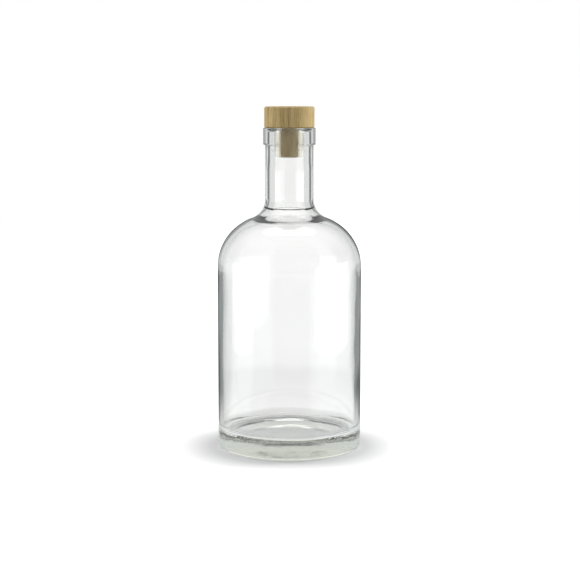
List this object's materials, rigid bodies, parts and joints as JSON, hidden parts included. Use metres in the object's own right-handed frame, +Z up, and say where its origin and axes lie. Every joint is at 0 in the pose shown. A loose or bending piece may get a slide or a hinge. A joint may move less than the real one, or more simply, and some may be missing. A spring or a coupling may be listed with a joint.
{
  "type": "glass carafe with stopper",
  "caption": "Round clear glass carafe with a straight neck and a banded lip, closed by a wooden stopper that lifts out.",
  "frame": {"origin": "centre of the foot, on the surface that the carafe stands on", "axes": "+Z up along the axis of the bottle, neck and stopper; the part is round, so +X and +Y are free"},
  "size_m": [0.0904, 0.0904, 0.2155],
  "materials": {
    "clear_glass": "clear, fire polished",
    "beech": "turned, fine vertical grain, waxed",
    "milky_plastic": "cream, milky, satin"
  },
  "bodies": {
    "bottle": {"bottle": "clear_glass"},
    "stopper": {"stopper_head": "beech", "stopper_sleeve": "milky_plastic"}
  },
  "joints": [
    {"name": "stopper_pull", "type": "slide", "parent": "bottle", "child": "stopper", "axis": [0, 0, 1], "range_m": [0, 0.04]}
  ]
}
